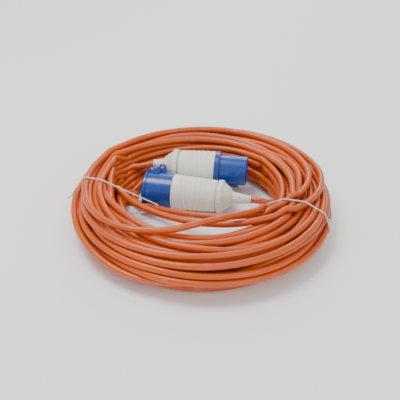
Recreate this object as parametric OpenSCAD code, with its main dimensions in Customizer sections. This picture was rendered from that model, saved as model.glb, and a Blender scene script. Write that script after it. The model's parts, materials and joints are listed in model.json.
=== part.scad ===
/* [Cable] */
// Outside diameter of the sheathed cable
cable_d = 9.4; // [8:0.2:11]
// Diameter of one insulated core
core_d = 3; // [2.4:0.2:3.6]

/* [Coil] */
// Radius at the middle of the bundle
coil_r = 144; // [138:1:160]
// Half of the bundle's width
coil_half_w = 34; // [28:1:38]
// Height of the bundle
coil_h = 62; // [50:1:70]
// Thickness of a tie
tie_t = 1.6; // [1:0.2:2.4]
// Width of a tie
tie_w = 2.6; // [2:0.2:5]

/* [Pins and contacts] */
// Diameter of the line and neutral pins
pin_d = 5; // [4:0.5:6]
// Diameter of the earth pin
earth_d = 7; // [6:0.5:8]
// Pitch circle of the three pins
pin_pcd = 17.5; // [16:0.5:19]
// Length of the line and neutral pins in the shroud
pin_len = 30; // [24:1:32]
// How much further the earth pin reaches
earth_lead = 3; // [1:1:5]
// Radial play of a pin in its contact sleeve
pin_play = 0.05; // [0.02:0.01:0.1]
// Wall of a contact sleeve
sleeve_wall = 0.9; // [0.6:0.1:1.2]
// Diameter of a terminal barrel
terminal_d = 8.4; // [7.6:0.2:9]
// Length of a terminal barrel
terminal_len = 12; // [10:1:16]
// Diameter of a terminal screw
screw_d = 3.5; // [3:0.5:4]

/* [Shroud and collar] */
// Outside diameter of the plug's shroud
shroud_d = 44; // [42:0.5:46]
// Wall of the plug's shroud
shroud_wall = 2.5; // [2:0.25:3.5]
// Depth of the plug's shroud
shroud_depth = 40; // [34:1:46]
// Gap all round between shroud and collar
shroud_gap = 0.5; // [0.3:0.1:1]
// Wall of the coupler's collar
collar_wall = 3.7; // [3:0.1:4.5]
// Depth of the collar, behind the lid
collar_depth = 36; // [32:1:40]
// Diameter of the contact carrier's post
post_d = 37.6; // [34:0.2:38]
// Width of the key rib
key_w = 9; // [7:0.5:11]
// How far the key rib stands out
key_h = 2.6; // [2:0.2:3]
// Length of the key rib
key_len = 27; // [20:1:32]
// Length of the plug's flange
flange_len = 7.5; // [5:0.5:10]
// Diameter of the plug's flange
flange_d = 53; // [52:0.5:56]
// Thickness of an insert's base disc
base_t = 4; // [3:0.5:6]

/* [Lid] */
// Thickness of the lid
lid_t = 5; // [4:0.5:7]
// Diameter of the lid
lid_d = 53; // [52:0.5:55]
// Distance of the hinge pin from the axis
hinge_r = 30; // [29.5:0.5:33]
// Distance of the hinge pin behind the lid's face
hinge_z = 10; // [9:0.5:12]
// Diameter of the hinge pin
hinge_pin_d = 3.4; // [3:0.2:4]
// Height of the ear above the collar
ear_h = 12; // [11:0.5:15]
// Length of the ear along the collar
ear_len = 15; // [12:0.5:18]
// Diameter of the hole in the ear
ear_hole_d = 4.8; // [4:0.2:6]

/* [Handles] */
// Diameter of the coupler's handle at its front
coupler_grip_d = 52; // [50:0.5:56]
// Length of the coupler's handle
coupler_grip_len = 66; // [60:1:80]
// Diameter of the plug's handle at its front
plug_grip_d = 52; // [50:0.5:56]
// Length of the plug's handle
plug_grip_len = 56; // [50:1:70]
// How much narrower a handle is at its rear
grip_taper = 5.5; // [4:0.5:7]
// Wall of a handle
grip_wall = 2.6; // [2:0.2:3.2]
// Distance between two grip ribs
rib_pitch = 7; // [5:0.5:10]
// Height of a grip rib
rib_h = 0.5; // [0.3:0.1:1]

/* [Glands] */
// Outside diameter of a gland nut's ring
nut_d = 48.6; // [47:0.2:52]
// Length of a gland nut's ring
nut_ring = 8; // [6:0.5:11]
// Length of a gland nut's shoulder
nut_shoulder = 12; // [10:0.5:15]
// Thread pitch of a gland nut
nut_pitch = 1.5; // [1:0.25:2]
// Length of the coupler's bend relief
coupler_relief_len = 29; // [24:1:34]
// Length of the plug's bend relief
plug_relief_len = 18; // [16:1:26]
// Diameter of a bend relief where it leaves the nut
relief_d = 21; // [19:0.5:23]

/* [Hidden] */
$fn = 72;

// Colours
BLUE = [0.02, 0.24, 0.55];
IVORY = [0.86, 0.86, 0.80];
ORANGE = [0.92, 0.36, 0.07];
GREY = [0.35, 0.36, 0.37];
BRASS = [0.78, 0.62, 0.30];
STEEL = [0.70, 0.71, 0.73];
BLACK = [0.08, 0.08, 0.09];

// Clearances
fit_gap = 0.1;
slide_gap = 0.3;
thread_gap = 0.15;

// Places of the two devices: a device's own +Z runs from its mouth to its cable, its own +X
// points to the coupler's hinge or to the plug's key rib
coil_at = [8, -54, 0];
coupler_at = [-76, -11, lid_d / 2];
coupler_yaw = -11;
coupler_pitch = 0;
coupler_roll = 146;
plug_at = [75, 17, 39];
plug_yaw = 172;
plug_pitch = 0.8;
plug_roll = 20;

// Radii and lengths worked out from the driving sizes
collar_in = shroud_d / 2 + shroud_gap;
collar_out = collar_in + collar_wall;
shroud_r = shroud_d / 2;
shroud_in = shroud_r - shroud_wall;
post_r = post_d / 2;
pin_r = pin_d / 2;
earth_r = earth_d / 2;
pin_ring = pin_pcd / 2;
terminal_r = terminal_d / 2;
cable_r = cable_d / 2;
ring_t = 4;
spigot_len = 8;
collar_z = lid_t;
floor_z = lid_t + collar_depth;
collar_end = floor_z + ring_t / 2;
coupler_front = collar_end;
plug_front = shroud_depth + flange_len;
coupler_rear = coupler_front + coupler_grip_len;
plug_rear = plug_front + plug_grip_len;
coupler_base = floor_z + ring_t;
plug_base = shroud_depth + ring_t;
key_gap = 0.3;
bulge_t = 1.2;
sheath_end = 18;
nut_travel_turns = 3;
travel = nut_travel_turns * nut_pitch;

// Gland: distances are from the handle's rear end
neck_r = 13.5;
neck_len = 9;
neck_wall = 2.5;
seal_r = neck_r - neck_wall - fit_gap;
seal_len = 7;
claw_t = 2;
flange_relief_t = 2.4;
flange_relief_r = 13;
nut_end = nut_ring + nut_shoulder;
nut_nose_r = relief_d / 2 + 3.2;
relief_hole = cable_r + slide_gap;
relief_tip_r = cable_r + 0.9;

// Lid hinge along the pin
lug_gap = 0.3;
spring_half = 4.4;
lid_lug_w = 4;
collar_lug_w = 3.6;
lug_r = hinge_pin_d / 2 + 1.9;
lid_lug_in = spring_half + lug_gap;
collar_lug_in = lid_lug_in + lid_lug_w + lug_gap;
pin_half = collar_lug_in + collar_lug_w;
spring_wire = 0.9;
spring_turns = 4;
spring_r = hinge_pin_d / 2 + 0.3 + spring_wire / 2;
ear_z = hinge_z + lug_r + 1.6;
ear_t = 3.6;
gasket_in = collar_in + 0.4;
gasket_out = collar_out - 0.8;
gasket_t = 1;
latch_len = 6;
latch_w = 7;
latch_travel = 1.2;
latch_proud = 0.7;
latch_angle = 90;

// Bodily placement of a device
module place(at, yaw, pitch, roll)
    translate(at) rotate([0, 0, yaw]) rotate([0, 90 - pitch, 0]) rotate([0, 0, roll]) children();
module at_coupler() place(coupler_at, coupler_yaw, coupler_pitch, coupler_roll) children();
module at_plug() place(plug_at, plug_yaw, plug_pitch, plug_roll) children();

// The same placements for a point, so that a cable's route can start on a device's axis
function axis_dir(yaw, pitch) =
    [cos(pitch) * cos(yaw), cos(pitch) * sin(yaw), sin(pitch)];
function on_coupler(z) = coupler_at + z * axis_dir(coupler_yaw, coupler_pitch);
function on_plug(z) = plug_at + z * axis_dir(plug_yaw, plug_pitch);

// A smooth curve through a list of points, and a closed tube swept along it
function spline_point(a, b, c, d, t) = 0.5 * (2 * b + (c - a) * t
    + (2 * a - 5 * b + 4 * c - d) * t * t + (3 * b - a - 3 * c + d) * t * t * t);
function smooth_path(p, steps) = [
    for (i = [0:len(p) - 2], s = [0:steps - 1])
        spline_point(p[max(i - 1, 0)], p[i], p[i + 1], p[min(i + 2, len(p) - 1)], s / steps),
    p[len(p) - 1]
];
function unit(v) = v / norm(v);
function tangent(p, i) = unit(p[min(i + 1, len(p) - 1)] - p[max(i - 1, 0)]);
// Frames carried along the path without twist: each side vector is the last one, made square
function side_step(s, t) = unit(s - (s * t) * t);
function sides_along(p, i, s) =
    i == len(p) ? [] : let (n = side_step(s, tangent(p, i))) concat([n], sides_along(p, i + 1, n));
module tube(p, r, sides, start = [0, 0, 1]) {
    n = len(p);
    across = sides_along(p, 0, start);
    points = [
        for (i = [0:n - 1], k = [0:sides - 1])
            let (a = 360 * k / sides, u = across[i], v = cross(tangent(p, i), u))
                p[i] + r * (cos(a) * u + sin(a) * v)
    ];
    walls = [
        for (i = [0:n - 2], k = [0:sides - 1], half = [0, 1])
            let (a = i * sides + k, b = i * sides + (k + 1) % sides)
                half == 0 ? [a, a + sides, b] : [b, a + sides, b + sides]
    ];
    ends = [
        for (k = [1:sides - 2]) [0, k, k + 1],
        for (k = [1:sides - 2]) [(n - 1) * sides, (n - 1) * sides + k + 1, (n - 1) * sides + k]
    ];
    polyhedron(points, concat(walls, ends));
}

// A ring or a tapering ring about the device's axis
module ring(r_out, r_in, z0, z1)
    translate([0, 0, z0]) difference() {
        cylinder(r = r_out, h = z1 - z0);
        translate([0, 0, -1]) cylinder(r = r_in, h = z1 - z0 + 2);
    }

// Where the pins stand: earth is on the key's side
module at_pin(angle) rotate([0, 0, angle]) translate([pin_ring, 0, 0]) children();
module at_all_pins(earth_angle)
    for (turn = [0, 120, 240]) at_pin(earth_angle + turn) children();

// ---- Parts that both devices share -------------------------------------------------------

// A handle: a tapering shell with grip ribs, a rounded rear shoulder and a threaded neck
module handle_shell(front_d, length, latch_turn) {
    front = front_d / 2;
    rear = front - grip_taper / 2;
    slope = (front - rear) / length;
    ribs = floor((length - 22) / rib_pitch);
    neck_end = length + neck_len;
    seat = length + neck_len - seal_len;
    difference() {
        union() {
            rotate_extrude() polygon([
                [front - grip_wall, 0], [front - 0.6, 0], [front, 0.6],
                [rear, length - 3], [rear - 3, length],
                [neck_r, length], [neck_r, neck_end], [neck_r - neck_wall, neck_end],
                [neck_r - neck_wall, seat], [cable_r + 1, seat], [cable_r + 1, seat - 2],
                [neck_r - neck_wall, length - grip_wall - 2],
                [rear - 3 - grip_wall, length - grip_wall - 2],
                [rear - grip_wall, length - 8], [front - grip_wall - slope * 14, 14],
                [front - grip_wall, 12]
            ]);
            for (i = [0:ribs - 1]) {
                z = 13 + i * rib_pitch;
                r = front - slope * z;
                translate([0, 0, z]) rotate_extrude() polygon([
                    [r - 1, -1.6], [r, -1.6], [r + rib_h, -0.6], [r + rib_h, 0.6], [r, 1.6],
                    [r - 1, 1.6]
                ]);
            }
        }
        rotate([0, 0, latch_turn]) translate([front - grip_wall - 1, -latch_w / 2 - 0.2, 2])
            cube([grip_wall + 4, latch_w + 0.4, latch_len + 0.4]);
    }
}

// A press tab in the handle's window, which locks the insert in the handle
module latch_tab(front_d, latch_turn)
    rotate([0, 0, latch_turn]) {
        low = front_d / 2 - grip_wall - fit_gap + 0.4;
        high = front_d / 2 + latch_proud;
        translate([low, -latch_w / 2, 2.2]) cube([high - low, latch_w, latch_len]);
        for (rib = [1.4, 3, 4.6])
            translate([high, 0, 2.2 + rib]) rotate([90, 0, 0])
                cylinder(r = 0.35, h = latch_w - 1, center = true, $fn = 16);
    }

// The pocket in an insert's spigot under the press tab
module latch_pocket(spigot_r, latch_turn)
    rotate([0, 0, latch_turn])
        translate([spigot_r - latch_travel - 0.4, -latch_w / 2 - 0.5, 1.6])
            cube([6, latch_w + 1, latch_len + 1.2]);

// A rubber sleeve round the cable inside the neck
module gland_seal()
    rotate_extrude() polygon([
        [cable_r + 0.05, neck_len - seal_len + 0.1], [seal_r, neck_len - seal_len + 0.1],
        [seal_r, neck_len - 1.5], [seal_r - 1.5, neck_len - 0.1], [cable_r + 0.05, neck_len - 0.1]
    ]);

// A clamping cage: a flat ring on the neck with jaws round the seal's nose
module gland_claw() {
    z = neck_len;
    difference() {
        rotate_extrude() polygon([
            [seal_r - 2.6, z], [neck_r - 0.3, z], [neck_r - 0.3, z + claw_t],
            [seal_r - 1.6, z + claw_t], [seal_r - 3.2, z + claw_t + 1.2], [seal_r - 4, z + claw_t + 1.2]
        ]);
        for (turn = [0:45:315]) rotate([0, 0, turn])
            translate([seal_r - 5, -0.6, z + claw_t / 2]) cube([5, 1.2, 4]);
    }
}

// A gland nut: a notched ring over the neck, and a shoulder that holds the bend relief
module gland_nut() {
    r = nut_d / 2;
    flange_at = neck_len + claw_t + 1.6;
    flange_out = flange_at + flange_relief_t + fit_gap;
    difference() {
        rotate_extrude() polygon([
            [neck_r + thread_gap, fit_gap * 2], [r - 0.8, fit_gap * 2], [r, 1], [r, nut_ring - 0.8],
            [r - 0.8, nut_ring], [r - 2.4, nut_ring], [neck_r + 2.8, flange_out + 0.4],
            [nut_nose_r, nut_end - 1.5], [nut_nose_r - 1, nut_end],
            [relief_d / 2 + fit_gap, nut_end], [relief_d / 2 + fit_gap, flange_out],
            [neck_r + thread_gap, flange_out]
        ]);
        for (turn = [0:15:345]) rotate([0, 0, turn])
            translate([r + 0.7, 0, -1]) cylinder(r = 1.3, h = nut_ring + 0.6, $fn = 24);
    }
}

// A bend relief: a flange under the nut's shoulder, then a slim cone with a lip at its tip
module bend_relief(length) {
    flange_at = neck_len + claw_t + 1.6;
    tip = nut_end + length;
    rotate_extrude() polygon([
        [relief_hole, flange_at], [flange_relief_r, flange_at],
        [flange_relief_r, flange_at + flange_relief_t],
        [relief_d / 2, flange_at + flange_relief_t], [relief_d / 2, nut_end + 1],
        [relief_d / 2 - 1.6, nut_end + 3], [relief_tip_r, tip - 3],
        [relief_tip_r + 0.5, tip - 2.2], [relief_tip_r + 0.5, tip - 0.6],
        [relief_tip_r, tip], [relief_hole, tip]
    ]);
}

// An O-ring in the corner between an insert and its handle
module seal_ring(spigot_r)
    rotate_extrude() translate([spigot_r - 0.9, spigot_len + 1.3]) circle(r = 0.9, $fn = 24);

// A terminal behind a pin or a sleeve: a barrel with a wire hole and a threaded screw hole
module terminal(z0, out_turn)
    difference() {
        translate([0, 0, z0]) cylinder(r = terminal_r, h = terminal_len);
        translate([0, 0, z0 + 3]) cylinder(r = core_d / 2 + 0.1, h = terminal_len);
        translate([0, 0, z0 + terminal_len / 2 + 1]) rotate([0, 0, out_turn]) rotate([0, 90, 0])
            cylinder(r = screw_d / 2 + 0.05, h = terminal_r + 2);
    }

// A slotted grub screw in a terminal, just clear of the wire
module terminal_screw(z0, out_turn)
    translate([0, 0, z0 + terminal_len / 2 + 1]) rotate([0, 0, out_turn]) rotate([0, 90, 0])
        translate([0, 0, core_d / 2 + 0.05]) difference() {
            union() {
                cylinder(r = screw_d / 2, h = terminal_r);
                translate([0, 0, terminal_r - core_d / 2 + 0.1]) cylinder(r = screw_d / 2 + 0.9, h = 2);
            }
            translate([-4, -0.4, terminal_r - core_d / 2 + 1.2]) cube([8, 0.8, 4]);
        }

// An insulated core: from the sheath's end in an S to its terminal, and straight into the hole
core_fan = core_d / 2 / sin(60) + 0.1;
core_steps = 12;
module core(z_sheath, z_terminal, angle) {
    z_hole = z_terminal + terminal_len;
    away = [cos(angle), sin(angle), 0];
    spread = pin_ring - core_fan;
    run = [
        for (i = [0:core_steps])
            let (t = i / core_steps)
                (core_fan + spread * (1 - cos(180 * t)) / 2) * away
                    + [0, 0, z_sheath - 0.1 + (z_hole - z_sheath) * t]
    ];
    tube(concat(run, [[0, 0, z_terminal + 4] + pin_ring * away]), core_d / 2, 8, away);
}

// ---- Coupler -----------------------------------------------------------------------------

coupler_earth = 180;
contact_z = lid_t + 4;
coupler_terminal_z = coupler_base + base_t + 1;
coupler_spigot = coupler_grip_d / 2 - grip_wall - fit_gap;

module coupler_collar() color(BLUE) at_coupler() {
    difference() {
        union() {
            rotate_extrude() polygon([
                [collar_in, collar_z], [collar_out - 0.8, collar_z], [collar_out, collar_z + 0.8],
                [collar_out, collar_end], [coupler_spigot, collar_end],
                [coupler_spigot, collar_end + spigot_len],
                [coupler_spigot - 2.6, collar_end + spigot_len],
                [coupler_spigot - 2.6, coupler_base], [post_r + fit_gap, coupler_base],
                [post_r + fit_gap, floor_z], [collar_in, floor_z]
            ]);
            // The swelling over the keyway
            intersection() {
                ring(collar_out + bulge_t, collar_in + 1, collar_z, collar_end - 2);
                translate([-collar_out - 5, -key_w, collar_z]) cube([12, 2 * key_w, collar_end]);
            }
            // Hinge lugs and the webs that carry them
            for (side = [-1, 1]) {
                y0 = side > 0 ? collar_lug_in : -pin_half;
                translate([0, y0, 0]) rotate([90, 0, 0]) translate([0, 0, -collar_lug_w]) {
                    translate([hinge_r, hinge_z, 0]) cylinder(r = lug_r, h = collar_lug_w);
                    translate([collar_in + 1, hinge_z - 2, 0])
                        cube([hinge_r - collar_in - 1, lug_r + 10, collar_lug_w]);
                }
            }
            // The ear
            translate([collar_in + 1, -ear_t / 2, ear_z]) difference() {
                rotate([90, 0, 0]) translate([0, 0, -ear_t]) linear_extrude(ear_t) polygon([
                    [0, 0], [collar_wall - 1, 0], [collar_wall + ear_h - 4, 2.5],
                    [collar_wall + ear_h - 1, 4.5], [collar_wall + ear_h - 1, ear_len - 4],
                    [collar_wall + ear_h - 3, ear_len - 2], [collar_wall, ear_len], [0, ear_len]
                ]);
                translate([collar_wall - 1 + ear_h - 4.4, -1, ear_len / 2]) rotate([-90, 0, 0])
                    cylinder(r = ear_hole_d / 2, h = ear_t + 2);
            }
        }
        // Keyway
        translate([-collar_in - key_h - key_gap, -key_w / 2 - key_gap, collar_z - 1])
            cube([8, key_w + 2 * key_gap, collar_depth - 4]);
        // Bore for the hinge pin
        translate([hinge_r, 0, hinge_z]) rotate([90, 0, 0])
            cylinder(r = hinge_pin_d / 2 + 0.02, h = 2 * pin_half + 2, center = true);
        // Room for the lid's lugs and the spring
        translate([collar_out - 1.6, -collar_lug_in, collar_z - 1])
            cube([6, 2 * collar_lug_in, hinge_z + lug_r + 0.5 - collar_z + 1]);
        translate([0, 0, collar_end]) latch_pocket(coupler_spigot, -latch_angle);
    }
}

module pin_funnel(r) translate([0, 0, contact_z - 3])
    cylinder(r1 = r + 1.9, r2 = r + 0.5, h = 3.01);

module coupler_contact_carrier() color(GREY) at_coupler()
    difference() {
        union() {
            translate([0, 0, collar_z + 2]) cylinder(r = post_r, h = coupler_base - collar_z - 2);
            translate([0, 0, coupler_base]) cylinder(r = coupler_spigot - 2.8, h = base_t);
        }
        // Funnels that lead the pins in and hold the sleeves back
        at_pin(coupler_earth) pin_funnel(earth_r);
        for (turn = [120, 240]) at_pin(coupler_earth + turn) pin_funnel(pin_r);
        at_pin(coupler_earth) translate([0, 0, contact_z])
            cylinder(r = earth_r + pin_play + sleeve_wall + 0.02, h = 60);
        for (turn = [120, 240]) at_pin(coupler_earth + turn) translate([0, 0, contact_z])
            cylinder(r = pin_r + pin_play + sleeve_wall + 0.02, h = 60);
        // Moulding pocket in the middle of the back
        translate([0, 0, 20]) cylinder(r = 3, h = 60);
    }

module contact(r, angle) color(BRASS) at_coupler() at_pin(angle) {
    difference() {
        translate([0, 0, contact_z + 0.1])
            cylinder(r = r + pin_play + sleeve_wall, h = coupler_terminal_z - contact_z);
        translate([0, 0, contact_z - 1]) cylinder(r = r + pin_play, h = pin_len + earth_lead);
    }
    terminal(coupler_terminal_z, 0);
}
module coupler_line_contact() contact(pin_r, coupler_earth + 120);
module coupler_neutral_contact() contact(pin_r, coupler_earth - 120);
module coupler_earth_contact() contact(earth_r, coupler_earth);

module coupler_terminal_screws() color(STEEL) at_coupler()
    at_all_pins(coupler_earth) terminal_screw(coupler_terminal_z, 0);

module coupler_lid() color(BLUE) at_coupler() {
    r = lid_d / 2;
    difference() {
        union() {
            rotate_extrude() polygon(concat(
                [[0, lid_t], [0, 1.4], [r - 9, 1.4], [r - 7.6, 0]],
                [for (a = [0:15:90]) [r - 2.4 + 2.4 * sin(a), 2.4 - 2.4 * cos(a)]],
                [[r, lid_t - 0.6], [r - 0.6, lid_t]]
            ));
            for (side = [-1, 1]) {
                y0 = side > 0 ? lid_lug_in : -lid_lug_in - lid_lug_w;
                translate([0, y0, 0]) rotate([90, 0, 0]) translate([0, 0, -lid_lug_w]) {
                    translate([hinge_r, hinge_z, 0]) cylinder(r = lug_r, h = lid_lug_w);
                    linear_extrude(lid_lug_w) polygon([
                        [r - 6, 0.8], [r - 1.6, 0.8], [hinge_r + lug_r - 0.4, hinge_z - 1.6],
                        [hinge_r, hinge_z], [hinge_r - lug_r + 0.5, hinge_z - 1.2],
                        [r - 1.5, lid_t], [r - 6, lid_t]
                    ]);
                }
            }
        }
        ring(gasket_out + 0.05, gasket_in - 0.05, lid_t - gasket_t, lid_t + 1);
        translate([hinge_r, 0, hinge_z]) rotate([90, 0, 0])
            cylinder(r = hinge_pin_d / 2 + 0.05, h = 2 * pin_half, center = true);
    }
}

module coupler_lid_gasket() color(BLACK) at_coupler()
    ring(gasket_out, gasket_in, lid_t - gasket_t, lid_t);

module coupler_hinge_pin() color(STEEL) at_coupler()
    translate([hinge_r, 0, hinge_z]) rotate([90, 0, 0])
        cylinder(r = hinge_pin_d / 2, h = 2 * pin_half, center = true);

// A torsion spring round the pin, with one leg on the collar and one on the lid
module coupler_hinge_spring() color(STEEL) at_coupler() {
    half = spring_half - 1.1;
    turns = [
        for (k = [0:8 * spring_turns])
            [hinge_r + spring_r * cos(45 * k), half * (k / (4 * spring_turns) - 1),
                hinge_z + spring_r * sin(45 * k)]
    ];
    tube(concat([[hinge_r + spring_r, -half, hinge_z - 3.4]], turns,
        [[hinge_r + spring_r, half, hinge_z + 4]]), spring_wire / 2, 6, [1, 0, 0]);
}

module coupler_seal_ring() color(BLACK) at_coupler() translate([0, 0, coupler_front])
    seal_ring(coupler_spigot);
module coupler_handle() color(IVORY) at_coupler() translate([0, 0, coupler_front])
    handle_shell(coupler_grip_d, coupler_grip_len, -latch_angle);
module coupler_latch() color(IVORY) at_coupler() translate([0, 0, coupler_front])
    latch_tab(coupler_grip_d, -latch_angle);
module coupler_gland_seal() color(BLACK) at_coupler() translate([0, 0, coupler_rear]) gland_seal();
module coupler_gland_claw() color(IVORY) at_coupler() translate([0, 0, coupler_rear]) gland_claw();
module coupler_gland_nut() color(IVORY) at_coupler() translate([0, 0, coupler_rear]) gland_nut();
module coupler_bend_relief() color(IVORY) at_coupler() translate([0, 0, coupler_rear])
    bend_relief(coupler_relief_len);

coupler_sheath = coupler_rear - sheath_end;
module coupler_line_core() color("saddlebrown") at_coupler()
    core(coupler_sheath, coupler_terminal_z, coupler_earth + 120);
module coupler_neutral_core() color("royalblue") at_coupler()
    core(coupler_sheath, coupler_terminal_z, coupler_earth - 120);
module coupler_earth_core() color("yellowgreen") at_coupler()
    core(coupler_sheath, coupler_terminal_z, coupler_earth);

// ---- Plug --------------------------------------------------------------------------------

plug_earth = 0;
plug_terminal_z = plug_base + base_t + 1;
plug_spigot = plug_grip_d / 2 - grip_wall - fit_gap;

module plug_shroud() color(BLUE) at_plug()
    difference() {
        union() {
            rotate_extrude() polygon([
                [shroud_in, 0.6], [shroud_in + 0.6, 0], [shroud_r - 0.6, 0], [shroud_r, 0.6],
                [shroud_r, shroud_depth], [flange_d / 2 - 1, shroud_depth],
                [flange_d / 2, shroud_depth + 1], [flange_d / 2, plug_front],
                [plug_spigot, plug_front], [plug_spigot, plug_front + spigot_len],
                [plug_spigot - 2.4, plug_front + spigot_len], [plug_spigot - 2.4, plug_base],
                [10, plug_base], [10, shroud_depth], [shroud_in, shroud_depth]
            ]);
            // Key rib
            translate([shroud_r - 1, -key_w / 2, shroud_depth - key_len - 2])
                cube([1 + key_h, key_w, key_len + 2]);
        }
        translate([0, 0, plug_front]) latch_pocket(plug_spigot, latch_angle);
        at_all_pins(plug_earth) translate([0, 0, shroud_depth - 1])
            cylinder(r = terminal_r + 0.3, h = 6);
    }

module plug_pin_carrier() color(GREY) at_plug()
    difference() {
        translate([0, 0, plug_base]) cylinder(r = plug_spigot - 2.6, h = base_t);
        at_pin(plug_earth) translate([0, 0, plug_base - 1]) cylinder(r = earth_r + 0.42, h = 9);
        for (turn = [120, 240]) at_pin(plug_earth + turn) translate([0, 0, plug_base - 1])
            cylinder(r = pin_r + 0.42, h = 9);
    }

module contact_pin(r, length, angle) color(BRASS) at_plug() at_pin(angle) {
    rotate_extrude() polygon([
        [0, shroud_depth - length], [r - 1.4, shroud_depth - length],
        [r, shroud_depth - length + 1.4], [r, plug_base], [r + 0.4, plug_base],
        [r + 0.4, plug_terminal_z + 1], [0, plug_terminal_z + 1]
    ]);
    terminal(plug_terminal_z, 0);
}
module plug_line_pin() contact_pin(pin_r, pin_len, plug_earth - 120);
module plug_neutral_pin() contact_pin(pin_r, pin_len, plug_earth + 120);
module plug_earth_pin() contact_pin(earth_r, pin_len + earth_lead, plug_earth);

module plug_terminal_screws() color(STEEL) at_plug()
    at_all_pins(plug_earth) terminal_screw(plug_terminal_z, 0);

module plug_seal_ring() color(BLACK) at_plug() translate([0, 0, plug_front])
    seal_ring(plug_spigot);
module plug_handle() color(IVORY) at_plug() translate([0, 0, plug_front])
    handle_shell(plug_grip_d, plug_grip_len, latch_angle);
module plug_latch() color(IVORY) at_plug() translate([0, 0, plug_front])
    latch_tab(plug_grip_d, latch_angle);
module plug_gland_seal() color(BLACK) at_plug() translate([0, 0, plug_rear]) gland_seal();
module plug_gland_claw() color(IVORY) at_plug() translate([0, 0, plug_rear]) gland_claw();
module plug_gland_nut() color(IVORY) at_plug() translate([0, 0, plug_rear]) gland_nut();
module plug_bend_relief() color(IVORY) at_plug() translate([0, 0, plug_rear])
    bend_relief(plug_relief_len);

plug_sheath = plug_rear - sheath_end;
module plug_line_core() color("saddlebrown") at_plug()
    core(plug_sheath, plug_terminal_z, plug_earth - 120);
module plug_neutral_core() color("royalblue") at_plug()
    core(plug_sheath, plug_terminal_z, plug_earth + 120);
module plug_earth_core() color("yellowgreen") at_plug()
    core(plug_sheath, plug_terminal_z, plug_earth);

// ---- Cable -------------------------------------------------------------------------------

left_tie_turn = 177;
right_tie_turn = -20;
tie_gap = 0.3;

// The bundle's section, wider than high, with a flat underside
module bundle_section(grow)
    intersection() {
        polygon([
            for (a = [0:12:348])
                [coil_r + (coil_half_w + grow) * sign(cos(a)) * pow(abs(cos(a)), 0.8),
                    coil_h / 2 + (coil_h / 2 + grow) * sign(sin(a)) * pow(abs(sin(a)), 0.8)]
        ]);
        translate([coil_r - 60, 0]) square([120, coil_h + 10]);
    }

// The bundle leaves room for the plug, its pins' sleeves, the coupler and the lid's swing
mating_room = 28;
module cord_coil() color(ORANGE)
    difference() {
        translate(coil_at) rotate_extrude($fn = 96) bundle_section(0);
        at_coupler() {
            translate([0, 0, -0.5]) cylinder(r = lid_d / 2 + 0.8, h = coupler_rear);
            translate([hinge_r, 0, hinge_z]) rotate([90, 0, 0])
                rotate([0, 0, 150]) rotate_extrude(angle = 195)
                    translate([0, -lid_d / 2 - 0.8]) square([hinge_r + lid_d / 2 + 3.4, lid_d + 1.6]);
        }
        at_plug() {
            translate([0, 0, -mating_room])
                cylinder(r = pin_ring + earth_r + 1.3, h = mating_room + 1);
            cylinder(r = flange_d / 2 + 0.8, h = plug_rear);
            translate([0, 0, plug_rear - 1]) cylinder(r = nut_d / 2 + 1, h = nut_end + travel + 2);
            translate([0, 0, plug_rear])
                cylinder(r = relief_d / 2 + 1, h = nut_end + plug_relief_len + travel + 1);
        }
        for (turn = [left_tie_turn, right_tie_turn])
            translate(coil_at) rotate([0, 0, turn]) translate([coil_r, 0, 0])
                cube([2 * coil_half_w + 20, tie_w + 2, 2 * (tie_t + tie_gap)], center = true);
    }

// A tie: a narrow band round the bundle
module tie(turn) color("gainsboro") translate(coil_at) rotate([0, 0, turn])
    rotate([90, 0, 0]) translate([0, 0, -tie_w / 2]) linear_extrude(tie_w) difference() {
        union() {
            bundle_section(tie_gap + tie_t);
            translate([coil_r + coil_half_w - 4, coil_h * 0.2]) square([9, 5]);
        }
        difference() {
            bundle_section(tie_gap);
            translate([coil_r - 60, -1]) square([120, 1 + tie_t]);
        }
    }
module left_tie() tie(left_tie_turn);
module right_tie() tie(right_tie_turn);

// A lead starts at the sheath's end inside the handle and stays straight past its bend relief
coupler_tip = coupler_rear + nut_end + coupler_relief_len;
plug_tip = plug_rear + nut_end + plug_relief_len;

// The coupler's lead: a hairpin to the right, and back over the front of the bundle
coupler_route = [
    on_coupler(coupler_sheath), on_coupler(coupler_tip - 30), on_coupler(coupler_tip + travel),
    on_coupler(coupler_tip + travel + 7), [103, -52, 30], [110, -68, 38], [103, -89, 47],
    [88, -106, 55], [68, -122, 61], [36, -140, 66], [-4, -160, 68.5], [-44, -181, 68],
    [-76, -190, 63]
];
module coupler_lead() color(ORANGE) tube(smooth_path(coupler_route, 3), cable_r, 10);

// The plug's lead: straight on and down into the back of the bundle
plug_route = [
    on_plug(plug_sheath), on_plug(plug_tip - 20), on_plug(plug_tip + travel),
    on_plug(plug_tip + travel + 7), [-92, 41, 40], [-108, 38, 35]
];
module plug_lead() color(ORANGE) tube(smooth_path(plug_route, 3), cable_r, 10);

coupler_collar();
coupler_contact_carrier();
coupler_line_contact();
coupler_neutral_contact();
coupler_earth_contact();
coupler_terminal_screws();
coupler_lid();
coupler_lid_gasket();
coupler_hinge_pin();
coupler_hinge_spring();
coupler_seal_ring();
coupler_handle();
coupler_latch();
coupler_gland_seal();
coupler_gland_claw();
coupler_gland_nut();
coupler_bend_relief();
coupler_line_core();
coupler_neutral_core();
coupler_earth_core();
plug_shroud();
plug_pin_carrier();
plug_line_pin();
plug_neutral_pin();
plug_earth_pin();
plug_terminal_screws();
plug_seal_ring();
plug_handle();
plug_latch();
plug_gland_seal();
plug_gland_claw();
plug_gland_nut();
plug_bend_relief();
plug_line_core();
plug_neutral_core();
plug_earth_core();
cord_coil();
coupler_lead();
plug_lead();
left_tie();
right_tie();
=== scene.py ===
# %% [markdown]
# # A coiled shore power cord
#
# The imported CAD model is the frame: every size and place comes from it. Blender adds the cable as
# one run of about 25 m, the wire ties that hold its coil, and a finish for every piece.

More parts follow.
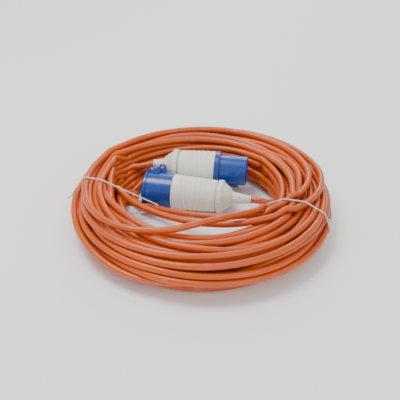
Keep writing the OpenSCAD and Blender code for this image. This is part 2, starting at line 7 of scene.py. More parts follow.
# %% The frame and the CAD box
import json
import math
import bpy
import numpy as np
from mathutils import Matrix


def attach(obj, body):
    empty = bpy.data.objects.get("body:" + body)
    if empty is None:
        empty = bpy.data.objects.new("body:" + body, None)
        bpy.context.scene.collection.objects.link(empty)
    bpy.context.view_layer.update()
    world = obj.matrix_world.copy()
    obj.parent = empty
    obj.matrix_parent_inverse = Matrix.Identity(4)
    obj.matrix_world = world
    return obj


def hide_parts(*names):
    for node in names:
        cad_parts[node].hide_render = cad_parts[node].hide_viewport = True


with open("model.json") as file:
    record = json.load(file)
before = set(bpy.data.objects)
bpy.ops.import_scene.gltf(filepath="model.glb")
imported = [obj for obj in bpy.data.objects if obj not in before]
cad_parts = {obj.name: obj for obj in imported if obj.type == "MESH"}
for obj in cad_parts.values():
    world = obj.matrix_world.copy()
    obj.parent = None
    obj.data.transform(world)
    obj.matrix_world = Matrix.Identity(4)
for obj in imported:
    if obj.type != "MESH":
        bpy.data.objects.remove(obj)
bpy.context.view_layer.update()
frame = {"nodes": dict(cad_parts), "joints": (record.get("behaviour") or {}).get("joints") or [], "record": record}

# %% [markdown]
# ## Camera, light and floor
#
# The camera looks along +Y, 34 degrees down, with a long lens. A large soft light above and to the
# left makes the narrow highlights on the cable, and a weak one in front opens the shadows.

# %% Camera
COIL_AT = np.array([0.008, -0.054, 0.0])
ELEVATION, DISTANCE, VIEW_WIDTH = math.radians(34), 1.1, 0.572
back = np.array([0, -math.cos(ELEVATION), math.sin(ELEVATION)])
up = np.array([0, math.sin(ELEVATION), math.cos(ELEVATION)])
aim = COIL_AT + [-0.003, 0, 0.030] + 0.004 * up

scene = bpy.context.scene
camera = bpy.data.objects.new("camera", bpy.data.cameras.new("camera"))
scene.collection.objects.link(camera)
camera.location = aim + DISTANCE * back
camera.rotation_euler = (math.pi / 2 - ELEVATION, 0, 0)
camera.data.sensor_width = 36
camera.data.lens = 36 * DISTANCE / VIEW_WIDTH
scene.camera = camera
print("lens", round(camera.data.lens, 1), "mm")


# %% Lights
def soft_light(name, place, size, watts, warmth):
    light = bpy.data.objects.new(name, bpy.data.lights.new(name, "AREA"))
    scene.collection.objects.link(light)
    light.location = place
    light.rotation_euler = (-light.location).to_track_quat("-Z", "Y").to_euler()
    light.data.size = size
    light.data.energy = watts
    light.data.color = (1.0, 1.0 - 0.08 * warmth, 1.0 - 0.16 * warmth)


soft_light("key", (-0.5, 0.1, 1.5), 0.7, 19, 0.2)
soft_light("front", (0.7, -1.4, 0.9), 1.2, 9, 0.4)
soft_light("rim", (0.3, 1.4, 0.9), 0.8, 8, 0.0)
world = bpy.data.worlds.new("studio")
world.use_nodes = True
world.node_tree.nodes["Background"].inputs["Color"].default_value = (1, 1, 1, 1)
world.node_tree.nodes["Background"].inputs["Strength"].default_value = 0.85
scene.world = world

# %% Floor
bpy.ops.mesh.primitive_grid_add(x_subdivisions=8, y_subdivisions=8, size=8)
floor = bpy.context.object
floor.name = "floor"

# %% [markdown]
# ## The cable's route
#
# The cable leaves the coupler, turns back in a hairpin and runs over the front of the bundle. Two
# loops lie a little to the right of the others and cross the opening in front of the coupler. These
# stretches are listed points. The other turns are worked out: each has its own place in
# the bundle's section and wanders a little round the coil.

# %% Places of the two devices and of the coil
CABLE_D = 0.0094
CABLE_LENGTH = 25.0
SPACING = 0.007
COIL_R, COIL_HALF_W, COIL_H = 0.144, 0.034, 0.062


def heading(yaw, pitch):
    yaw, pitch = math.radians(yaw), math.radians(pitch)
    return np.array([math.cos(pitch) * math.cos(yaw), math.cos(pitch) * math.sin(yaw), math.sin(pitch)])


COUPLER_AT, COUPLER_DIR, COUPLER_TIP = np.array([-0.076, -0.011, 0.0265]), heading(-11, 0), 0.158
PLUG_AT, PLUG_DIR, PLUG_TIP = np.array([0.075, 0.017, 0.039]), heading(172, 0.8), 0.1415
print("coupler's cable tip", (COUPLER_AT + COUPLER_TIP * COUPLER_DIR).round(4))

# %% The listed stretches, in metres
LEAD = [(0.103, -0.052, 0.030), (0.110, -0.068, 0.038), (0.103, -0.089, 0.047), (0.088, -0.106, 0.055),
        (0.068, -0.122, 0.061), (0.036, -0.140, 0.066), (-0.004, -0.160, 0.0685),
        (-0.044, -0.181, 0.068), (-0.076, -0.190, 0.063), (-0.114, -0.171, 0.062),
        (-0.138, -0.136, 0.056), (-0.152, -0.099, 0.052), (-0.155, -0.059, 0.052)]
FIRST_LOOP = [(-0.148, -0.009, 0.056), (-0.122, 0.036, 0.058), (-0.082, 0.074, 0.060),
              (-0.032, 0.096, 0.060), (0.028, 0.106, 0.060), (0.083, 0.092, 0.060),
              (0.128, 0.056, 0.060), (0.158, 0.018, 0.060), (0.180, -0.014, 0.054),
              (0.188, -0.040, 0.048), (0.176, -0.066, 0.054), (0.152, -0.090, 0.064),
              (0.122, -0.112, 0.069), (0.084, -0.126, 0.062), (0.051, -0.114, 0.044),
              (0.019, -0.094, 0.032), (-0.015, -0.070, 0.026), (-0.053, -0.054, 0.024),
              (-0.082, -0.042, 0.018), (-0.102, -0.024, 0.009), (-0.118, 0.008, 0.012)]
SECOND_LOOP = [(-0.126, 0.038, 0.030), (-0.102, 0.078, 0.044), (-0.054, 0.108, 0.052),
               (0.008, 0.118, 0.054), (0.068, 0.110, 0.056), (0.118, 0.084, 0.058),
               (0.160, 0.048, 0.052), (0.188, 0.014, 0.044), (0.198, -0.018, 0.040),
               (0.196, -0.048, 0.042), (0.186, -0.088, 0.052), (0.164, -0.114, 0.064),
               (0.138, -0.134, 0.069), (0.104, -0.146, 0.068), (0.070, -0.138, 0.054),
               (0.026, -0.116, 0.030), (-0.038, -0.090, 0.018), (-0.082, -0.066, 0.020),
               (-0.112, -0.042, 0.032), (-0.134, -0.008, 0.044), (-0.142, 0.030, 0.048)]
PLUG_LEAD = [(-0.108, 0.038, 0.035), (-0.092, 0.041, 0.040)]
print(len(LEAD) + len(FIRST_LOOP) + len(SECOND_LOOP) + len(PLUG_LEAD), "points by hand")


# %% Curves through points
def along(line, at):
    """Points at the distances `at` along a line."""
    run = np.concatenate([[0], np.cumsum(np.linalg.norm(np.diff(line, axis=0), axis=1))])
    return np.column_stack([np.interp(at * run[-1], run, line[:, k]) for k in range(3)])


def evenly(line, count):
    return along(line, np.linspace(0, 1, count))


def length_of(line):
    return float(np.linalg.norm(np.diff(line, axis=0), axis=1).sum())


def smooth(points, steps):
    """A Catmull-Rom curve through points."""
    p = np.array(points, float)
    p = np.vstack([2 * p[0] - p[1], p, 2 * p[-1] - p[-2]])
    t = np.linspace(0, 1, steps, endpoint=False)[:, None]
    runs = [0.5 * (2 * b + (c - a) * t + (2 * a - 5 * b + 4 * c - d) * t ** 2
                   + (3 * b - a - 3 * c + d) * t ** 3)
            for a, b, c, d in zip(p, p[1:], p[2:], p[3:])]
    return np.vstack(runs + [p[-2:-1]])


# %% The turns worked out by a loop
def section(sine):
    """The bundle's middle radius and half width round the coil: wide in front, narrow behind."""
    return COIL_R + 0.008 * sine, COIL_HALF_W - CABLE_D / 2 + 0.008 * (1 - sine)


def seats(count):
    """Places over the bundle's section, most of them near its surface, in short hops."""
    k = np.arange(count)
    size = ((k + 0.5) / count) ** 0.34
    turn = 2.39996 * k
    turn = turn + 0.45 * np.cos(turn)
    seat = np.column_stack([size * np.cos(turn), size * np.sin(turn)])
    order = [int(np.argmin(np.linalg.norm(seat - [0.3, 0.7], axis=1)))]
    while len(order) < count:
        left = [i for i in range(count) if i not in order]
        order.append(min(left, key=lambda i: np.linalg.norm(seat[i] - seat[order[-1]])))
    return seat[order]


def coil_turns(turns, start, chance):
    """A winding whose turns move from seat to seat, each with its own size, place and tilt."""
    count = math.ceil(turns) + 2
    waver = chance.normal(0, 1, (count, 2, 4)) * [0.24, 0.24, 0.12, 0.12]
    shape = np.concatenate([seats(count)[:, :, None], waver], axis=2)
    u = np.arange(int(turns * 150)) / 150
    k = u.astype(int)
    share = ((u - k) ** 2 * (3 - 2 * (u - k)))[:, None, None]
    angle = start - 2 * math.pi * u
    waves = np.column_stack([np.ones_like(u), np.cos(angle), np.sin(angle),
                             np.cos(2 * angle), np.sin(2 * angle)])
    p, q = np.einsum("ijk,ik->ji", shape[k] * (1 - share) + shape[k + 1] * share, waves)
    over = np.maximum(1, np.hypot(p, q))
    middle, half = section(np.sin(angle))
    r = middle + (half - 0.003) * p / over
    z = COIL_H / 2 + 0.001 + (COIL_H / 2 - CABLE_D / 2 - 0.001) * q / over
    return np.column_stack([r * np.cos(angle), r * np.sin(angle), z]) + COIL_AT


def cable_start():
    """The whole route before it settles, evenly spaced, and how many of its points lie on the listed stretches."""
    tip_in, tip_out = 0.028, 0.0115
    hand = [COUPLER_AT + s * COUPLER_DIR for s in (COUPLER_TIP - tip_in, COUPLER_TIP, COUPLER_TIP + tip_out)]
    hand += LEAD + FIRST_LOOP + SECOND_LOOP
    lead = smooth(hand, 24)
    from_coil = lead[-1] - COIL_AT
    to_coil = np.array(PLUG_LEAD[0]) - COIL_AT
    start = math.atan2(from_coil[1], from_coil[0]) - 0.12
    part = (start - math.atan2(to_coil[1], to_coil[0])) / (2 * math.pi)
    left = CABLE_LENGTH - length_of(lead)
    turns = round(left / (2 * math.pi * COIL_R) - part) + 1 + part + 0.03
    coil = coil_turns(turns, start, np.random.default_rng(7))
    tail = [PLUG_AT + s * PLUG_DIR for s in (PLUG_TIP + 0.007, PLUG_TIP, PLUG_TIP - tip_in)]
    whole = np.vstack([lead, coil[6:-8], PLUG_LEAD, tail])
    count = round(length_of(whole) / SPACING)
    print("turns by rule", round(turns, 2), "and length before settling", round(length_of(whole), 2), "m")
    return evenly(whole, count), round(length_of(lead) / length_of(whole) * count)


route, hand_count = cable_start()

# %% [markdown]
# ## Letting the cable settle
#
# The route is a chain of points. In each round they sink a little, lean to an even bend between
# their neighbours, are drawn back square to the cable toward their first places, and push each
# other a cable's diameter apart. The floor, the two devices, the lid's swing and the bundle's
# section hold them. It is a relaxation in numpy with a fixed seed, not a model of stiffness.

# %% What stands in the cable's way
COUPLER_OUTLINE = [(-0.0006, 0.0265), (0.043, 0.0266), (0.109, 0.024), (0.117, 0.0243), (0.1175, 0.0225),
                   (0.125, 0.015), (0.129, 0.011), (0.158, 0.006), (0.163, 0.0047)]
PLUG_OUTLINE = [(-0.0005, 0.022), (0.0, 0.0225), (0.040, 0.0225), (0.0405, 0.0267), (0.048, 0.0267),
                (0.103, 0.0245), (0.112, 0.0245), (0.119, 0.0165), (0.123, 0.0137), (0.124, 0.011),
                (0.1415, 0.006), (0.146, 0.0047)]
MATING_ROOM = [(-0.028, 0.0135), (0.0, 0.0135)]
MARGIN = CABLE_D / 2 + 0.0004


def clear_device(x, at, direction, outline):
    stations, radii = zip(*outline)
    rel = x - at
    station = rel @ direction
    side = rel - station[:, None] * direction
    away = np.maximum(np.linalg.norm(side, axis=1), 1e-6)
    short = np.interp(station, stations, radii, left=-1, right=-1) + MARGIN - away
    x += side / away[:, None] * np.maximum(short, 0)[:, None]


lid_joint = next(j for j in frame["joints"] if j["name"] == "lid_hinge")
PIN_AT, PIN_DIR = np.array(lid_joint["pos_m"]), np.array(lid_joint["axis"])
HINGE_UP = np.cross(COUPLER_DIR, PIN_DIR) * -1
LID_REACH, LID_R, HINGE_TO_AXIS = 0.0593, 0.027, 0.030


LID_SLACK, HINGE_SIDE = 0.0004, 0.004
SWING_FROM, SWING_TO = 2, 150


def clear_lid(x):
    """Keeps the cable out of the lid's swing, by the shorter way: down and out, or to the side."""
    rel = x - PIN_AT
    ahead, above, aside = rel @ -COUPLER_DIR, rel @ HINGE_UP, rel @ PIN_DIR
    away = np.maximum(np.hypot(ahead, above), 1e-6)
    turned = np.degrees(np.arctan2(ahead, -above))
    beyond = np.maximum(away - CABLE_D / 2 - HINGE_TO_AXIS, 0)
    half = np.sqrt(np.maximum(LID_R ** 2 - beyond ** 2, 0)) + MARGIN + LID_SLACK
    reach = LID_REACH + MARGIN + LID_SLACK
    in_swing = (turned > SWING_FROM) & (turned < SWING_TO) & (ahead > HINGE_SIDE)
    inside = (away < reach) & (np.abs(aside) < half) & in_swing
    out, side = reach - away, half - np.abs(aside)
    to_side = inside & (side < out)
    to_front = inside & ~to_side
    x += PIN_DIR * (np.sign(aside) * side * 0.5 * to_side)[:, None]
    radial = (ahead[:, None] * -COUPLER_DIR + above[:, None] * HINGE_UP) / away[:, None]
    x += radial * (out * 0.5 * to_front)[:, None]


SQUARENESS = 2.6


def hold_bundle(x, share, swell):
    """Turns outside the bundle's section come back, and turns inside spread to its surface."""
    rel = x - COIL_AT
    r = np.hypot(rel[:, 0], rel[:, 1])
    middle, half = section(rel[:, 1] / r)
    half_h = COIL_H / 2 - CABLE_D / 2 + 0.001
    p, q = (r - middle) / half, (rel[:, 2] - COIL_H / 2) / half_h
    size = np.maximum((np.abs(p) ** SQUARENESS + np.abs(q) ** SQUARENESS) ** (1 / SQUARENESS), 0.3)
    back = np.where(size > 1, (1 - 1 / size) * 0.3, -swell / (30 * size)) * share
    x[:, :2] -= rel[:, :2] / r[:, None] * (p * half * back)[:, None]
    x[:, 2] -= q * half_h * back


# %% Which points are near each other
def near_pairs(x, reach, gap):
    """Pairs of points closer than reach that are more than gap points apart along the cable."""
    cell = np.floor(x / reach).astype(int)
    cell -= cell.min(0) - 1
    dim = cell.max(0) + 3
    key = (cell[:, 0] * dim[1] + cell[:, 1]) * dim[2] + cell[:, 2]
    order = np.argsort(key, kind="stable")
    sorted_key = key[order]
    found = []
    ahead = [(i, j, k) for i in (0, 1) for j in (-1, 0, 1) for k in (-1, 0, 1) if (i, j, k) >= (0, 0, 0)]
    for i, j, k in ahead:
        shift = (i * dim[1] + j) * dim[2] + k
        low = np.searchsorted(sorted_key, key + shift, "left")
        count = np.searchsorted(sorted_key, key + shift, "right") - low
        a = np.repeat(np.arange(len(x)), count)
        b = order[np.repeat(low - np.cumsum(count) + count, count) + np.arange(count.sum())]
        found.append(np.column_stack([a, b])[(a < b) | bool(shift)])
    a, b = np.vstack(found).T
    keep = (np.abs(a - b) > gap) & (((x[a] - x[b]) ** 2).sum(1) < reach ** 2)
    return a[keep], b[keep]


PUSH_GAIN = 1.4


def push_apart(x, a, b, tangent, free):
    """Moves touching stretches a diameter apart, square to the cable."""
    apart = x[a] - x[b]
    slip = (apart * tangent[a]).sum(1)
    apart -= slip[:, None] * tangent[a]
    gap = np.linalg.norm(apart, axis=1) + 1e-9
    touch = (gap < CABLE_D) & (np.abs(slip) < SPACING * 0.8)
    push = apart[touch] / gap[touch, None] * (CABLE_D - gap[touch, None]) / 2
    move, hits = np.zeros_like(x), np.zeros(len(x))
    for ends, sign in ((a[touch], 1), (b[touch], -1)):
        hits += np.bincount(ends, minlength=len(x))
        for c in range(3):
            move[:, c] += np.bincount(ends, sign * push[:, c], len(x))
    x += move / np.maximum(hits, 1)[:, None] * PUSH_GAIN * free


# %% Settling
HAIRPIN_POINTS, HAIRPIN_HOLD = 36, 0.5
HAND_HOLD, COIL_HOLD = 0.10, 0.003
ROUNDS, QUICK_ROUNDS, RESPACE_EVERY = 260, 40, 8
BEND_SPANS = ((1, 0.30), (3, 0.22), (7, 0.10))
BULGE = 0.98


def settle(x, hand_count, rounds, fall=0.00003, swell=0.12):
    """Relaxes the chain in place: sink, even out the bends, go home a little, make room."""
    count = len(x)
    held_start, held_end = 5, 5
    free = np.ones((count, 1))
    free[:held_start] = free[-held_end:] = 0
    hold = np.where(np.arange(count) < hand_count, HAND_HOLD, COIL_HOLD)
    bundled = (np.arange(count) >= hand_count).astype(float)
    guide = x.copy()
    for number in range(rounds):
        calm = 1 - number / rounds
        if number % RESPACE_EVERY == 0:
            for run in (x[held_start:hand_count], x[hand_count - 1:-held_end]):
                run[:] = evenly(run.copy(), len(run))
            a, b = near_pairs(x, CABLE_D + 0.005, 5)
        x[:, 2] -= fall * calm * free[:, 0]
        for m, lean in BEND_SPANS:
            out = (x[m:-m] - COIL_AT) * [1, 1, 0]
            r = np.maximum(np.linalg.norm(out, axis=1), 0.1)[:, None]
            even = (x[:-2 * m] + x[2 * m:]) / 2 + out / r * (m * SPACING) ** 2 / (2 * r) * BULGE
            x[m:-m] += (even - x[m:-m]) * lean * free[m:-m]
        tangent = np.gradient(x, axis=0)
        tangent /= np.linalg.norm(tangent, axis=1)[:, None]
        home = guide - x
        home -= (home * tangent).sum(1)[:, None] * tangent
        pull = hold * min(1, 4 * calm)
        pull[:HAIRPIN_POINTS] = HAIRPIN_HOLD
        x += home * pull[:, None] * free
        for _ in range(2):
            push_apart(x, a, b, tangent, free)
            ends = x[:held_start].copy(), x[-held_end:].copy()
            hold_bundle(x, bundled, swell * calm)
            clear_device(x, COUPLER_AT, COUPLER_DIR, COUPLER_OUTLINE)
            clear_device(x, PLUG_AT, PLUG_DIR, PLUG_OUTLINE)
            clear_device(x, PLUG_AT, PLUG_DIR, MATING_ROOM)
            clear_lid(x)
            x[:, 2] = np.maximum(x[:, 2], CABLE_D / 2)
            x[:held_start], x[-held_end:] = ends
    return x


settled = settle(route, hand_count, ROUNDS)
print("settled length", round(length_of(settled), 2), "m, top at", round(1000 * settled[:, 2].max()), "mm")

# %% [markdown]
# ## The cable itself
#
# One open run with a round section, in steps short enough for its tightest bend.


# %% Round runs
def wire(name, lines, radius, sides):
    """A mesh of one or more open round runs with closed ends."""
    curve = bpy.data.curves.new(name, "CURVE")
    curve.dimensions = "3D"
    curve.bevel_depth = radius
    curve.bevel_resolution = sides // 4
    curve.use_fill_caps = True
    for line in lines:
        spline = curve.splines.new("POLY")
        spline.points.add(len(line) - 1)
        spline.points.foreach_set("co", np.column_stack([line, np.ones(len(line))]).ravel())
        spline.use_smooth = True
    run = bpy.data.objects.new(name + "_run", curve)
    scene.collection.objects.link(run)
    mesh = bpy.data.meshes.new_from_object(run.evaluated_get(bpy.context.evaluated_depsgraph_get()))
    bpy.data.objects.remove(run)
    mesh.name = name
    obj = bpy.data.objects.new(name, mesh)
    scene.collection.objects.link(obj)
    return obj


fine_route = smooth(settled, 2)
fine_route[:, 2] = np.maximum(fine_route[:, 2], CABLE_D / 2)
cable = wire("power_cable", [fine_route], CABLE_D / 2, 12)
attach(cable, "cord_set")
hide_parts("cord_coil", "coupler_lead", "plug_lead")
print(len(fine_route), "points,", round(length_of(fine_route), 2), "m,", len(cable.data.polygons), "faces")

# %% The cable's ends inside the handles
COUPLER_SHEATH_IN, PLUG_SHEATH_IN, SHEATH_START = 0.067, 0.056, 0.027
inner = [[at + (tip - SHEATH_START) * way, at + (tip - depth) * way]
         for at, way, tip, depth in ((COUPLER_AT, COUPLER_DIR, COUPLER_TIP, COUPLER_SHEATH_IN),
                                     (PLUG_AT, PLUG_DIR, PLUG_TIP, PLUG_SHEATH_IN))]
cable_ends = wire("cable_ends", [np.array(line) for line in inner], CABLE_D / 2, 12)
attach(cable_ends, "cord_set")

# %% [markdown]
# ## The ties
#
# Each tie is a thin covered wire, twisted double and pulled round the bundle. Its loop follows the
# turns that it holds: where they cross the tie's plane, their circles' hull is its path.


# %% Ties
def hull(points):
    """The convex hull of 2D points, anticlockwise."""
    points = sorted(map(tuple, points))
    halves = []
    for run in (points, points[::-1]):
        half = []
        for p in run:
            while len(half) > 1 and np.cross(np.subtract(half[-1], half[-2]), np.subtract(p, half[-1])) <= 0:
                half.pop()
            half.append(p)
        halves += half[:-1]
    return np.array(halves)


def crossings(line, azimuth):
    """Radius and height of each turn where it crosses the half plane at this azimuth."""
    turn = math.radians(azimuth)
    rel = line - COIL_AT
    r = rel[:, 0] * math.cos(turn) + rel[:, 1] * math.sin(turn)
    side = -rel[:, 0] * math.sin(turn) + rel[:, 1] * math.cos(turn)
    at = np.nonzero((side[:-1] * side[1:] < 0) & (r[:-1] > 0.05))[0]
    return np.column_stack([r[at], rel[at, 2]])


def tie(name, node, azimuth, knot_height, lean):
    wire_r, twist = 0.0006, 0.007
    ring = np.linspace(0, 2 * math.pi, 24, endpoint=False)
    circle = np.column_stack([np.cos(ring), np.sin(ring)]) * (CABLE_D / 2 + 2 * wire_r + 0.0002)
    loop = hull(np.vstack([seat + circle for seat in crossings(fine_route, azimuth)]))
    loop[:, 1] = np.maximum(loop[:, 1], 2 * wire_r)
    outside = np.argmin(np.hypot(loop[:, 0] - loop[:, 0].max(), loop[:, 1] - knot_height))
    loop = np.roll(loop, -outside, axis=0)
    loop = np.vstack([loop, loop[:1]])
    out, across = heading(azimuth, 0), heading(azimuth + 90, 0)
    lift = np.array([0, 0, 1.0])
    path = COIL_AT + loop[:, :1] * out + loop[:, 1:] * lift
    path = evenly(path, round(length_of(path) / 0.001))
    knot = path[0]
    tail = smooth([knot, knot + 0.003 * out + 0.002 * across, knot + 0.005 * out + 0.007 * lean * across,
                   knot + 0.004 * out + 0.012 * lean * across + 0.004 * lift], 6)
    strands = []
    for line in (path, tail):
        run = np.concatenate([[0], np.cumsum(np.linalg.norm(np.diff(line, axis=0), axis=1))])
        tangent = np.gradient(line, axis=0)
        tangent /= np.linalg.norm(tangent, axis=1)[:, None]
        first = across if line is path else lift
        normal = np.cross(tangent, first)
        turn = 2 * math.pi * run / twist
        offset = np.cos(turn)[:, None] * normal + np.sin(turn)[:, None] * np.cross(tangent, normal)
        strands += [line + wire_r * offset, line - wire_r * offset]
    for strand in strands:
        strand[:, 2] = np.maximum(strand[:, 2], wire_r)
    obj = wire(name, strands, wire_r, 8)
    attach(obj, "cord_set")
    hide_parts(node)
    return obj


ties = [tie("left_wire_tie", "left_tie", 177, 0.030, 1.0),
        tie("right_wire_tie", "right_tie", -20, 0.045, -1.0)]
print("ties", [t.name for t in ties])

# %% [markdown]
# ## Finishes
#
# Two node groups are shared. *moulded skin* varies a plastic's colour and gloss and gives it fine
# grain. *metal wear* does the same for pins and springs with fine lengthwise scratches. They give
# out only colours, values and heights, and each material holds its own shader.


# %% Node helpers
def new_group(name, inputs):
    tree = bpy.data.node_groups.new(name, "ShaderNodeTree")
    for label, kind, value in inputs:
        socket = tree.interface.new_socket(label, in_out="INPUT", socket_type=kind)
        socket.default_value = value
    for label, kind in (("Color", "NodeSocketColor"), ("Roughness", "NodeSocketFloat"),
                        ("Height", "NodeSocketFloat")):
        tree.interface.new_socket(label, in_out="OUTPUT", socket_type=kind)
    return tree, tree.nodes.new("NodeGroupInput"), tree.nodes.new("NodeGroupOutput")


def noise(tree, scale, detail, stretch=(1, 1, 1)):
    """Noise in the object's own space, stretched along an axis."""
    place = tree.nodes.new("ShaderNodeTexCoord")
    mapping = tree.nodes.new("ShaderNodeMapping")
    mapping.inputs["Scale"].default_value = stretch
    grain = tree.nodes.new("ShaderNodeTexNoise")
    grain.inputs["Scale"].default_value = scale
    grain.inputs["Detail"].default_value = detail
    tree.links.new(place.outputs["Object"], mapping.inputs["Vector"])
    tree.links.new(mapping.outputs["Vector"], grain.inputs["Vector"])
    return grain.outputs["Fac"]


def ranged(tree, source, low, high, to_low, to_high):
    """The source's range from low to high, spread from to_low to to_high."""
    node = tree.nodes.new("ShaderNodeMapRange")
    tree.links.new(source, node.inputs["Value"])
    for label, value in zip(("From Min", "From Max", "To Min", "To Max"), (low, high, to_low, to_high)):
        if isinstance(value, (int, float)):
            node.inputs[label].default_value = value
        else:
            tree.links.new(value, node.inputs[label])
    return node.outputs["Result"]


def mixed(tree, share, first, second):
    node = tree.nodes.new("ShaderNodeMix")
    node.data_type = "RGBA"
    for socket, value in ((node.inputs["Factor"], share), (node.inputs[6], first), (node.inputs[7], second)):
        if isinstance(value, (int, float, tuple)):
            socket.default_value = value
        else:
            tree.links.new(value, socket)
    return node.outputs[2]


def added(tree, first, second, weight):
    node = tree.nodes.new("ShaderNodeMath")
    node.operation = "MULTIPLY_ADD"
    tree.links.new(second, node.inputs[0])
    node.inputs[1].default_value = weight
    tree.links.new(first, node.inputs[2])
    return node.outputs["Value"]


# %% The shared groups
def moulded_skin():
    tree, given, out = new_group("moulded skin", (
        ("Colour", "NodeSocketColor", (0.5, 0.5, 0.5, 1)), ("Shade", "NodeSocketColor", (0.4, 0.4, 0.4, 1)),
        ("Gloss low", "NodeSocketFloat", 0.2), ("Gloss high", "NodeSocketFloat", 0.4)))
    cloud = ranged(tree, noise(tree, 9, 3), 0.35, 0.65, 0.0, 1.0)
    scuff = ranged(tree, noise(tree, 60, 6, (1, 0.25, 1)), 0.58, 0.72, 0.0, 1.0)
    speck = ranged(tree, noise(tree, 420, 2), 0.3, 0.7, 0.0, 1.0)
    toned = mixed(tree, cloud, given.outputs["Colour"], given.outputs["Shade"])
    worn = mixed(tree, ranged(tree, scuff, 0, 1, 0.0, 0.04), toned, (0.85, 0.83, 0.80, 1))
    tree.links.new(worn, out.inputs["Color"])
    tree.links.new(ranged(tree, added(tree, cloud, scuff, 0.6), 0, 1.6, given.outputs["Gloss low"],
                          given.outputs["Gloss high"]), out.inputs["Roughness"])
    tree.links.new(added(tree, speck, scuff, -0.5), out.inputs["Height"])
    return tree


def metal_wear():
    tree, given, out = new_group("metal wear", (
        ("Colour", "NodeSocketColor", (0.8, 0.8, 0.8, 1)), ("Shade", "NodeSocketColor", (0.6, 0.6, 0.6, 1)),
        ("Gloss low", "NodeSocketFloat", 0.2), ("Gloss high", "NodeSocketFloat", 0.4)))
    scratch = ranged(tree, noise(tree, 500, 4, (0.06, 1, 1)), 0.4, 0.65, 0.0, 1.0)
    stain = ranged(tree, noise(tree, 40, 4), 0.4, 0.7, 0.0, 1.0)
    tree.links.new(mixed(tree, stain, given.outputs["Colour"], given.outputs["Shade"]), out.inputs["Color"])
    tree.links.new(ranged(tree, added(tree, scratch, stain, 0.5), 0, 1.5, given.outputs["Gloss low"],
                          given.outputs["Gloss high"]), out.inputs["Roughness"])
    tree.links.new(scratch, out.inputs["Height"])
    return tree


SKIN, METAL = moulded_skin(), metal_wear()


# %% Materials
RELIEF_DEPTH = 0.0002


def material(name, group, colour, shade, gloss, bump, **constants):
    """A Principled material fed by a shared group; constants go straight on its sockets."""
    made = bpy.data.materials.new(name)
    made.use_nodes = True
    tree = made.node_tree
    shader = tree.nodes["Principled BSDF"]
    skin = tree.nodes.new("ShaderNodeGroup")
    skin.node_tree = group
    skin.inputs["Colour"].default_value = (*colour, 1)
    skin.inputs["Shade"].default_value = (*shade, 1)
    skin.inputs["Gloss low"].default_value, skin.inputs["Gloss high"].default_value = gloss
    relief = tree.nodes.new("ShaderNodeBump")
    relief.inputs["Strength"].default_value = bump
    relief.inputs["Distance"].default_value = RELIEF_DEPTH
    tree.links.new(skin.outputs["Color"], shader.inputs["Base Color"])
    tree.links.new(skin.outputs["Roughness"], shader.inputs["Roughness"])
    tree.links.new(skin.outputs["Height"], relief.inputs["Height"])
    tree.links.new(relief.outputs["Normal"], shader.inputs["Normal"])
    for label, value in constants.items():
        shader.inputs[label.replace("_", " ")].default_value = value
    return made


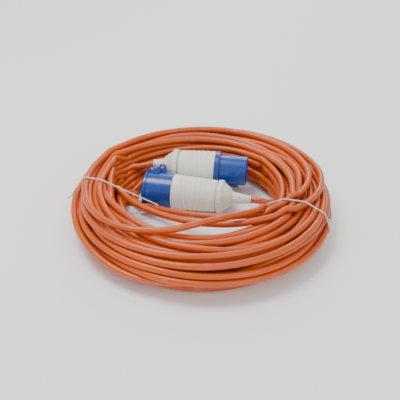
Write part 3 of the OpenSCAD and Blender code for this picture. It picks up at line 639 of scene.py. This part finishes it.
# Each slot's material name, group, colour, shade, gloss range, relief and other sockets
FINISHES = {
    "orange_sheath": ("orange pvc sheath", SKIN, (0.60, 0.085, 0.0), (0.50, 0.066, 0.0),
                      (0.32, 0.46), 0.10, {"Coat_Weight": 0.12, "Coat_Roughness": 0.25}),
    "blue_plastic": ("blue polyamide", SKIN, (0.0, 0.045, 0.30), (0.0, 0.036, 0.25),
                     (0.24, 0.38), 0.12, {"Coat_Weight": 0.25, "Coat_Roughness": 0.2}),
    "pale_plastic": ("pale polyamide", SKIN, (0.74, 0.75, 0.68), (0.69, 0.70, 0.63),
                     (0.34, 0.48), 0.15, {"Subsurface_Weight": 0.08, "Subsurface_Scale": 0.003}),
    "pale_relief": ("pale flexible relief", SKIN, (0.73, 0.74, 0.68), (0.67, 0.68, 0.62),
                    (0.42, 0.56), 0.15, {"Subsurface_Weight": 0.10, "Subsurface_Scale": 0.003}),
    "grey_insert": ("grey insert", SKIN, (0.10, 0.105, 0.11), (0.075, 0.08, 0.085), (0.40, 0.55), 0.25, {}),
    "black_rubber": ("black rubber", SKIN, (0.012, 0.012, 0.012), (0.02, 0.02, 0.02),
                     (0.55, 0.75), 0.30, {}),
    "brown_core": ("brown core", SKIN, (0.12, 0.035, 0.01), (0.10, 0.028, 0.008), (0.3, 0.45), 0.10, {}),
    "blue_core": ("blue core", SKIN, (0.01, 0.09, 0.42), (0.01, 0.07, 0.36), (0.3, 0.45), 0.10, {}),
    "tie": ("covered wire", SKIN, (0.72, 0.73, 0.73), (0.62, 0.63, 0.62), (0.35, 0.5), 0.20, {}),
    "contact_brass": ("nickelled brass", METAL, (0.72, 0.66, 0.50), (0.60, 0.50, 0.32),
                      (0.16, 0.34), 0.08, {"Metallic": 1.0}),
    "steel": ("plated steel", METAL, (0.62, 0.63, 0.65), (0.48, 0.49, 0.50),
              (0.20, 0.42), 0.10, {"Metallic": 1.0}),
    "floor": ("studio floor", SKIN, (0.97, 0.97, 0.97), (0.96, 0.96, 0.96), (0.7, 0.8), 0.02, {}),
}
MATERIALS = {slot: material(*finish[:-1], **finish[-1]) for slot, finish in FINISHES.items()}


# %% The earth core's two colours
def striped_core():
    """Yellow with a green stripe, by which side of the core faces up."""
    made = material("green and yellow core", SKIN, (0.62, 0.55, 0.02), (0.55, 0.48, 0.02), (0.3, 0.45), 0.10)
    tree = made.node_tree
    normal = tree.nodes.new("ShaderNodeNewGeometry")
    split = tree.nodes.new("ShaderNodeSeparateXYZ")
    tree.links.new(normal.outputs["Normal"], split.inputs["Vector"])
    stripe = ranged(tree, split.outputs["Z"], -0.05, 0.05, 0.0, 1.0)
    skin = next(n for n in tree.nodes if n.type == "GROUP")
    tree.links.new(mixed(tree, stripe, skin.outputs["Color"], (0.02, 0.22, 0.03, 1)),
                   tree.nodes["Principled BSDF"].inputs["Base Color"])
    return made


MATERIALS["green_yellow_core"] = striped_core()


# %% Every piece gets its finish
def paint(obj, slot):
    if not obj.material_slots:
        obj.data.materials.append(MATERIALS[slot])
    for place in obj.material_slots:
        place.link = "OBJECT"
        place.material = MATERIALS[slot]


for part in frame["record"]["subparts"]:
    paint(frame["nodes"][part["node"]], part["material_slot"])
for obj in (cable, cable_ends):
    paint(obj, "orange_sheath")
for obj in ties:
    paint(obj, "tie")
paint(floor, "floor")
print(len(MATERIALS), "materials on", len(frame["nodes"]), "CAD nodes and", len(ties) + 2, "pieces")
